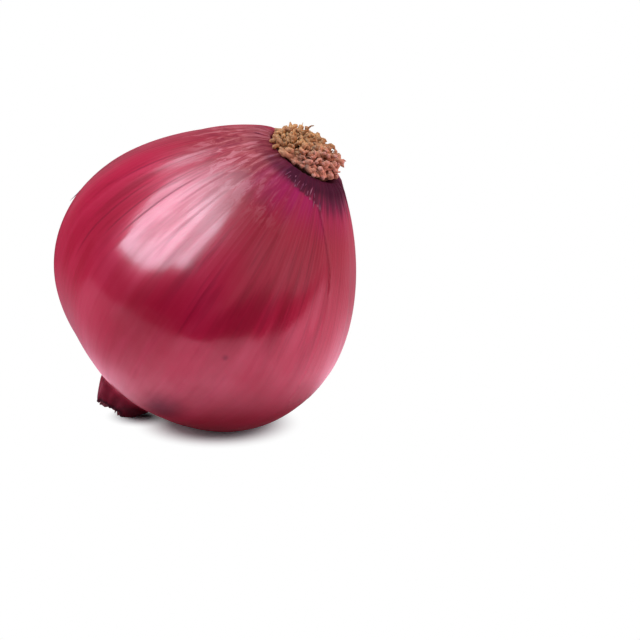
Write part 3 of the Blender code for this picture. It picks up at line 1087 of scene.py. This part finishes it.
# %% Rim row, hairs and spike
RIM_ROOTLETS = 58
RIM_ROW_RADIUS = (0.00048, 0.00078)
RIM_ROW_LENGTH = (0.0018, 0.0028)
RIM_ROW_FALL = (math.radians(250), 0.0028)
RIM_ROW_SPLAY = (math.radians(88), math.radians(128))
RIM_ROW_LEAN = math.radians(30)
RIM_ROW_SCATTER = 0.3
HAIRS = 44
HAIR_SIDES = 4
HAIR_RADIUS = (0.00009, 0.00016)
HAIR_LENGTH = (0.0030, 0.0052)
HAIR_SHARES = (0.1, 1)
HAIR_SPLAY_SPREAD = 0.5
HAIR_SHORTER = (1.15, 0.4)
HAIR_CURL = 1.3 * ROOTLET_CURL
SPIKE = (math.radians(186), 0.35, math.radians(32), 0, 0.0056, 1.6 * HAIR_RADIUS[1])
SPIKE_CURL = 0.4 * ROOTLET_CURL
SPIKE_SIDES = 5

for i in range(RIM_ROOTLETS):
    turn = 2 * math.pi * (i + either_way(RIM_ROW_SCATTER)) / RIM_ROOTLETS
    aside = either_way(RIM_ROW_LEAN)
    fall_at, fall_by = RIM_ROW_FALL
    length = tuft_draw.uniform(*RIM_ROW_LENGTH) + fall_by * towards(turn, fall_at)
    splay = tuft_draw.uniform(*RIM_ROW_SPLAY) * (1 - TALL_SPLAY * towards(turn, TALL_AT))
    grow(turn, 1, splay, aside, length, tuft_draw.uniform(*RIM_ROW_RADIUS))
for i in range(HAIRS):
    share = math.sqrt(tuft_draw.uniform(*HAIR_SHARES))
    splay = share * RIM_SPLAY + either_way(HAIR_SPLAY_SPREAD)
    length = tuft_draw.uniform(*HAIR_LENGTH) * (HAIR_SHORTER[0] - HAIR_SHORTER[1] * share)
    radius = tuft_draw.uniform(*HAIR_RADIUS)
    grow(i * GOLDEN_ANGLE, share, splay, 0, length, radius, HAIR_CURL, HAIR_SIDES)
grow(*SPIKE, SPIKE_CURL, SPIKE_SIDES)
print(f"the rim row and {HAIRS} hairs bring the tuft to {len(tuft.faces)} faces")

# %% [markdown]
# Dry roots are tan with pinkish tips. Towards their feet, deep in the mat, they are darkened with
# painted shade. Each point knows how far it is from foot to tip, and where on the plate it stands,
# so one side can be pinker than the other. A fine crinkle is given to the mesh itself. Its noise has
# a fixed seed, because Blender would take a new one from the clock each time.

# %% Finish of the roots, and the tuft as a piece
CRINKLE = 0.00030
CRINKLE_SCALE = 1300.0
CRINKLE_FROM = COLLAR_AT + 0.0004
PINK_FACES = 320


def root_material():
    made, tree, shader = new_material("dry_root_finish")
    spot = object_place(tree)
    to_tip = carried(tree, "to_tip")
    place = parts_of(tree, carried(tree, "on_plate", "Vector"))
    grain = stirred(tree, spot, 1900.0)
    pink = soft_range(tree, facing_reach(tree, place, PINK_FACES), 0.0, 0.9)
    tips = times(tree, soft_range(tree, to_tip, 0.75, 1.0), soft_range(tree, pink, 0.3, 1.0), 0.38)
    colour = layered(
        tree,
        dry_patches(tree, spot, (0.41, 0.200, 0.066), (0.59, 0.345, 0.125)),
        (times(tree, pink, 0.72), (0.76, 0.335, 0.245)),
        (soft_range(tree, grain, 0.52, 0.72, 0, 0.28), (0.70, 0.47, 0.27)),
        (soft_range(tree, grain, 0.49, 0.33, 0, 0.50), (0.20, 0.080, 0.034)),
        # Painted shade towards the feet of the rootlets, deep in the mat.
        (times(tree, soft_range(tree, to_tip, 0.62, 0.15), 0.78), (0.14, 0.058, 0.026)),
        (tips, (0.72, 0.42, 0.42)),
    )
    bump = put(tree, "ShaderNodeBump", {"Strength": 0.6, "Distance": 0.0002, "Height": grain})
    fill(tree, shader, {
        "Base Color": colour,
        "Roughness": 0.75,
        "Specular IOR Level": 0.25,
        "Normal": bump.outputs[0],
    })
    return made


def finish_tuft(finish):
    """Crinkles the tuft, lays it down, and keeps each point's place on the plate."""
    noise.seed_set(ROOT_SEED)
    for vert in tuft.verts:
        stir = noise.noise_vector(vert.co * CRINKLE_SCALE)
        vert.co += stir * CRINKLE * (vert.co.z > CRINKLE_FROM)
    piece = laid_out(tuft, "root_mat", finish, "root_tuft")
    back = np.array(LYING.inverted())
    upright = points_of(piece.data) @ back[:3, :3].T + back[:3, 3]
    upright[:, 2] -= PLATE_EDGE_AT
    keep_value(piece.data, "on_plate", upright / PLATE_RADIUS)


finish_tuft(root_material())

# %% [markdown]
# Dry scraps are left wherever the skin was torn: fibres round the root plate, where the outer skin
# pulled away from it, and two wider flakes on the sides. Each is a flat strand that starts in the
# skin and lifts a little towards its tip.

# %% Scraps of torn skin
SCRAP_SIDES = 6
SCRAP_STEPS = 6
SCRAP_FLAT = 0.30
SCRAP_SEED = 5
SCRAP_ARCS = ((266, 314, 13, 0.0060), (350, 610, 9, 0.0))
SCRAP_DROP = (0.6, 1)
SCRAP_RIM = (0.0008, 0.0022)
SCRAP_FROM = 0.0096
SCRAP_WIDTH = (0.00018, 0.00034)
SCRAP_TAPER = (1.02, 0.85)
SCRAP_LENGTH = (0.0014, 0.0030)
SCRAP_LIFT = (0.00005, 0.00025)
SCRAP_SWAY = 0.02
SCRAP_SUNK = 0.0001
SCRAP_LIFTS_FROM = np.array([0, 0, 0.012])
FLAKES = ((186, 0.0515, 0.0034, 0.00055, 0.0006), (108, 0.0230, 0.0042, 0.0006, 0.0007))

SKIN_LINE = np.array(profile)
SKIN_WALK = np.concatenate([[0], np.cumsum(np.hypot(*np.diff(SKIN_LINE, axis=0).T))])
SKIN_WALK -= SKIN_WALK[np.argmax(SKIN_LINE[:, 1] > SCRAP_FROM)]


def scrap_path(turn, from_rim, length, lift, sway):
    """Points that run down the skin from one place, rising off it towards the tip."""
    share = np.linspace(0, 1, SCRAP_STEPS + 1)
    walk = from_rim + length * share
    at = np.interp(walk, SKIN_WALK, SKIN_LINE[:, 0])
    radius = np.interp(walk, SKIN_WALK, SKIN_LINE[:, 1])
    on_skin = grown(round_place(turn + sway * share**2, at, radius))
    outward = on_skin - SCRAP_LIFTS_FROM
    outward /= np.linalg.norm(outward, axis=1, keepdims=True)
    raised = on_skin + outward * (lift * share**1.5 - SCRAP_SUNK * (1 - share))[:, None]
    return [Vector(point) for point in raised], Vector(outward[0])


def scrap_material():
    made, tree, shader = new_material("torn_scrap_finish")
    patches = dry_patches(
        tree, object_place(tree), (0.15, 0.030, 0.08), (0.32, 0.13, 0.20),
        Scale=300.0, Detail=2.0, Low=0.40, High=0.60,
    )
    foot = soft_range(tree, carried(tree, "to_tip"), 0.4, 0.0)
    colour = tinted(tree, foot, patches, (0.12, 0.01, 0.05))
    fill(tree, shader, {"Base Color": colour, "Roughness": 0.8, "Specular IOR Level": 0.1})
    return made


def make_scraps(finish):
    """Scraps along the arcs round the root plate, and the flakes on the shoulder."""
    draw = random.Random(SCRAP_SEED)
    bm = bmesh.new()
    bm.verts.layers.float.new("to_tip")

    def lay_scrap(degrees, from_rim, length, width, lift):
        sway = draw.uniform(-SCRAP_SWAY, SCRAP_SWAY)
        path, out = scrap_path(math.radians(degrees), from_rim, length, lift, sway)
        thick, thins = SCRAP_TAPER
        radii = [width * (thick - thins * i / SCRAP_STEPS) for i in range(len(path))]
        grow_strand(bm, path, radii, SCRAP_SIDES, SCRAP_FLAT, out)

    for start, end, count, slope in SCRAP_ARCS:
        for i in range(count):
            degrees = start + (end - start) * (i + draw.uniform(0, 1)) / count
            from_rim, length = draw.uniform(*SCRAP_RIM), draw.uniform(*SCRAP_LENGTH)
            from_rim += slope * draw.uniform(*SCRAP_DROP) * (degrees - start) / (end - start)
            width, lift = draw.uniform(*SCRAP_WIDTH), draw.uniform(*SCRAP_LIFT)
            lay_scrap(degrees, from_rim, length, width, lift)
    for flake in FLAKES:
        lay_scrap(*flake)
    return laid_out(bm, "torn_scraps", finish)


make_scraps(scrap_material())

# %% [markdown]
# The dried neck is the bases of many leaves, so inside its torn outer rim stand thinner papery
# layers, each broken at its own height. Each is a strip of a turned tube that stops short of
# closing, with a thickness given by solidify and a noise that crumples it.

# %% Papery layers inside the neck
NECK_LAYERS = (
    (0.0043, 330, 0.0002, 20),
    (0.0034, 290, 0.0006, 140),
    (0.0024, 310, 0.0001, 250),
    (0.0014, 260, 0.0007, 60),
)
LAYER_ROOT_AT = -0.0372
LAYER_RINGS = 9
LAYER_TAPER = (0.9, 1.0, 1.04)
LAYER_STEP = 8
LAYER_THICK = 0.00016
LAYER_CRUMPLE = 0.00045
CRUMPLE_NOISE = (420.0, 2.0)
LAYER_FRAY = 0.0007
FRAY_NOISE = (900.0, 11.0)


def neck_layer(radius, sweep, beyond, start):
    """One strip of a turned tube, open along its side, with a thickness."""
    stops = (LAYER_ROOT_AT, NECK_TIP_AT, NECK_TIP_AT - beyond)
    line = spaced([(at, radius * wide) for at, wide in zip(stops, LAYER_TAPER)], LAYER_RINGS)
    layer = bmesh.new()
    turn = Matrix.Rotation(math.radians(start), 3, "Z")
    chain = [layer.verts.new(turn @ Vector((r, 0, a))) for a, r in line]
    edges = [layer.edges.new(pair) for pair in zip(chain, chain[1:])]
    about = {"cent": (0, 0, 0), "axis": (0, 0, 1), "angle": math.radians(sweep)}
    bmesh.ops.spin(layer, geom=chain + edges, steps=sweep // LAYER_STEP, **about)
    bmesh.ops.recalc_face_normals(layer, faces=layer.faces)
    bmesh.ops.solidify(layer, geom=layer.faces[:], thickness=LAYER_THICK)
    return layer


def make_neck_layers(finish):
    """All the layers, grown with the skin, crumpled and frayed towards their tips."""
    bm = bmesh.new()
    for layer in NECK_LAYERS:
        add_to(bm, neck_layer(*layer))
    plain = np.array([vert.co for vert in bm.verts])
    angle = np.arctan2(plain[:, 1], plain[:, 0])
    down = ramp(plain[:, 2], LAYER_ROOT_AT, NECK_TIP_AT)
    crumple = LAYER_CRUMPLE * noise_on(plain, *CRUMPLE_NOISE) * down
    fray = LAYER_FRAY * noise_on(plain, *FRAY_NOISE) * down**2
    for vert, place in zip(bm.verts, grown(plain) + round_place(angle, fray, crumple)):
        vert.co = place
    bmesh.ops.recalc_face_normals(bm, faces=bm.faces)
    laid_out(bm, "neck_layers", finish)


def neck_material():
    made, tree, shader = new_material("dried_neck_finish")
    colour = dry_patches(tree, object_place(tree), (0.09, 0.008, 0.018), (0.26, 0.045, 0.06))
    fill(tree, shader, {"Base Color": colour, "Roughness": 0.6})
    return made


make_neck_layers(neck_material())

# %% [markdown]
# The onion stands on a white sheet in a small studio. A large soft light hangs above it, in front
# and to the left, and bright walls stand behind and beside it. The room in front is dark, and a
# glossy skin shows all of that. The sheet is paper close to the onion, where its shadow falls, and
# glows further out. It has its own tones for what the skin mirrors, for what lights the onion and
# for what the camera sees, which the Light Path node tells apart.

# %% Table
TABLE_SIZE = 3.0
TABLE_GREY = (0.45, 0.45, 0.45)
TABLE_SEEN = (0.80, 1.26, 1.22)
WHITE = (1.0, 1.0, 1.0)
SHEET_GLOW = (1.36, 1.36, 1.36)
SHEET_MIRRORED = (3.0, 1.75, 2.25)
SHEET_BEHIND = (0.42, 0.33, 0.37)
SHEET_BEHIND_LEFT = (0.25, 0.08, 0.12)
SHEET_RIGHT = (1.15, 0.47, 0.62)
SHEET_TURNS = (0.02, 0.15)
SHEET_LEFT = (1.16, 0.72, 0.94)
SHEET_FADES = (-0.015, -0.065)
SHEET_DIMS = (-0.02, 0.12)
ONION_STANDS_AT = (0, 0, 0)
BULB_STANDS_AT = (-0.0015, -0.0020, 0.0)
BULB_SHADOW = (0.0105, 0.0218)
NECK_STANDS_AT = (-0.0215, -0.001, 0.0)
NECK_SHADOW = (0.002, 0.0095)
GLOW_RANGE = (0.07, 0.16)
MIRROR_RANGE = (0.020, 0.046)


def sheet(name, corners, finish, **hidden):
    """A flat piece of the studio with these corners, given as (x, y), hidden from some rays."""
    bm = bmesh.new()
    bmesh.ops.contextual_create(bm, geom=[bm.verts.new((x, y, 0)) for x, y in corners])
    mesh = bpy.data.meshes.new(name)
    bm.to_mesh(mesh)
    bm.free()
    mesh.materials.append(finish)
    made = bpy.data.objects.new(name, mesh)
    bpy.context.scene.collection.objects.link(made)
    for ray, seen in hidden.items():
        setattr(made, ray, seen)
    return made


def square(size):
    return [(x * size / 2, y * size / 2) for x, y in ((-1, -1), (1, -1), (1, 1), (-1, 1))]


def sheet_material():
    made, tree, shader = new_material("white_sheet")
    tree.nodes.remove(shader)
    spot = object_place(tree)
    place = parts_of(tree, spot)
    rays = put(tree, "ShaderNodeLightPath").outputs
    seen, glossy = rays["Is Camera Ray"], rays["Is Glossy Ray"]

    def far_from(centre, reach):
        return soft_range(tree, distance(tree, spot, centre), *reach)

    to_left = soft_range(tree, place["X"], *SHEET_FADES)
    behind = tinted(tree, soft_range(tree, place["X"], *SHEET_TURNS), SHEET_BEHIND, SHEET_RIGHT)
    behind = tinted(tree, to_left, behind, SHEET_BEHIND_LEFT)
    mirrored = tinted(tree, to_left, SHEET_MIRRORED, SHEET_LEFT)
    mirrored = tinted(tree, soft_range(tree, place["Y"], *SHEET_DIMS), mirrored, behind)
    lighting = tinted(tree, glossy, SHEET_GLOW, mirrored)
    clear_of_shadow = times(
        tree, far_from(BULB_STANDS_AT, BULB_SHADOW), far_from(NECK_STANDS_AT, NECK_SHADOW), seen
    )
    near_mirror = times(tree, far_from(ONION_STANDS_AT, MIRROR_RANGE), glossy)
    lit = most(tree, clear_of_shadow, far_from(ONION_STANDS_AT, GLOW_RANGE), near_mirror)
    paper_tone = tinted(tree, seen, TABLE_GREY, TABLE_SEEN)
    paper = put(tree, "ShaderNodeBsdfDiffuse", {"Color": paper_tone})
    glow = put(tree, "ShaderNodeEmission", {"Color": tinted(tree, seen, lighting, WHITE)})
    mix = put(tree, "ShaderNodeMixShader", {0: lit, 1: paper.outputs[0], 2: glow.outputs[0]})
    fill(tree, tree.nodes["Material Output"], {"Surface": mix.outputs[0]})
    return made


sheet("table", square(TABLE_SIZE), sheet_material())
print(f"the sheet is {TABLE_SIZE} m square")

# %% [markdown]
# A black cloth darkens what a glossy thing mirrors. One lies in front here, a little to the right.
# The camera doesn't see it, but the skin mirrors it, and the bulb's lower front is darker for it.

# %% Black cloth in front
CLOTH_TURN = math.radians(30)
CLOTH_AWAY = 0.111
CLOTH_SIZE = 1.6
CLOTH_HEIGHT = 0.0005
CLOTH_BLACK = (0.004, 0.004, 0.004)


def make_black_cloth():
    made, tree, shader = new_material("black_cloth")
    fill(tree, shader, {"Base Color": CLOTH_BLACK, "Roughness": 1.0})
    unseen = {"visible_camera": False, "visible_shadow": False}
    cloth = sheet("black_cloth", square(CLOTH_SIZE), made, **unseen)
    away = Vector((math.sin(CLOTH_TURN), -math.cos(CLOTH_TURN), 0))
    cloth.location = away * (CLOTH_AWAY + CLOTH_SIZE / 2) + Vector((0, 0, CLOTH_HEIGHT))
    cloth.rotation_euler.z = CLOTH_TURN


make_black_cloth()
print(f"the black cloth starts {1000 * CLOTH_AWAY:.0f} mm in front of the onion")

# %% [markdown]
# The highlight on the bulb is the picture of a softbox, so its shape matters. It is a glowing sheet
# with six corners, which only the shine shows. A soft panel overhead gives the even light, and it
# has no picture in the skin. The room is dark in front and bright behind and to the right.

# %% Lights and surroundings
KEY_HEIGHT = 0.55
KEY_CORNERS = (
    (-0.85, -0.36), (-0.72, -0.55), (-0.05, -0.90), (0.10, -0.36), (0.09, -0.04), (-0.16, 0.22),
)
KEY_RADIANCE = 12.0
KEY_TINT = (0.76, 1.04, 1.17)
PANEL_AT = Vector((-0.14, 0.06, 0.80))
PANEL_SIZE = (1.1, 1.1)
PANEL_RADIANCE = 0.93
ROOM_FRONT = (0.010, 0.010, 0.011)
ROOM_RIGHT = (1.15, 0.80, 0.86)
ROOM_BEHIND = (0.34, 0.27, 0.30)
DIM_FRONT = (0.02, 0.02, 0.02)
DIM_BEHIND = (0.24, 0.24, 0.24)
SIDE_RIGHT = (2.6, 1.60, 1.82)
SIDE_LEFT = (2.5, 1.45, 1.62)


def make_key_light():
    """The large softbox. Only the shine on the skin shows it, and the panel does the rest."""
    made, tree, shader = new_material("softbox_cloth")
    fill(tree, shader, {
        "Base Color": (0, 0, 0),
        "Emission Color": KEY_TINT,
        "Emission Strength": KEY_RADIANCE,
    })
    unseen = {"visible_camera": False, "visible_diffuse": False, "visible_shadow": False}
    cloth = sheet("key_softbox", KEY_CORNERS, made, **unseen)
    cloth.location = CENTRE + Vector((0, 0, KEY_HEIGHT))


def make_panel():
    light = bpy.data.lights.new("overhead_panel", "AREA")
    light.shape = "RECTANGLE"
    light.size, light.size_y = PANEL_SIZE
    light.energy = PANEL_RADIANCE * 4 * PANEL_SIZE[0] * PANEL_SIZE[1]
    panel = bpy.data.objects.new("overhead_panel", light)
    panel.location = CENTRE + PANEL_AT
    panel.visible_glossy = False
    bpy.context.scene.collection.objects.link(panel)


def make_surroundings():
    """The room as the shine shows it, as it lights the onion, and white for the camera."""
    world = bpy.data.worlds.new("studio")
    world.use_nodes = True
    tree = world.node_tree
    way = parts_of(tree, put(tree, "ShaderNodeTexCoord").outputs["Generated"])
    rays = put(tree, "ShaderNodeLightPath").outputs
    room = layered(
        tree,
        tinted(tree, soft_range(tree, way["X"], 0.1, 0.9), ROOM_FRONT, ROOM_RIGHT),
        (soft_range(tree, way["Y"], 0.25, 0.90), ROOM_BEHIND),
    )
    side_light = layered(
        tree,
        tinted(tree, soft_range(tree, way["Y"], -0.9, -0.1), DIM_FRONT, DIM_BEHIND),
        (soft_range(tree, way["X"], 0.40, 0.95), SIDE_RIGHT),
        (soft_range(tree, way["X"], -0.40, -0.95), SIDE_LEFT),
    )
    lit = tinted(tree, rays["Is Diffuse Ray"], room, side_light)
    shown = tinted(tree, rays["Is Camera Ray"], lit, WHITE)
    fill(tree, tree.nodes["Background"], {"Color": shown})
    bpy.context.scene.world = world


make_key_light()
make_panel()
make_surroundings()
bpy.context.scene.view_settings.view_transform = "Standard"
print("one softbox, an overhead panel and a dark room in front")
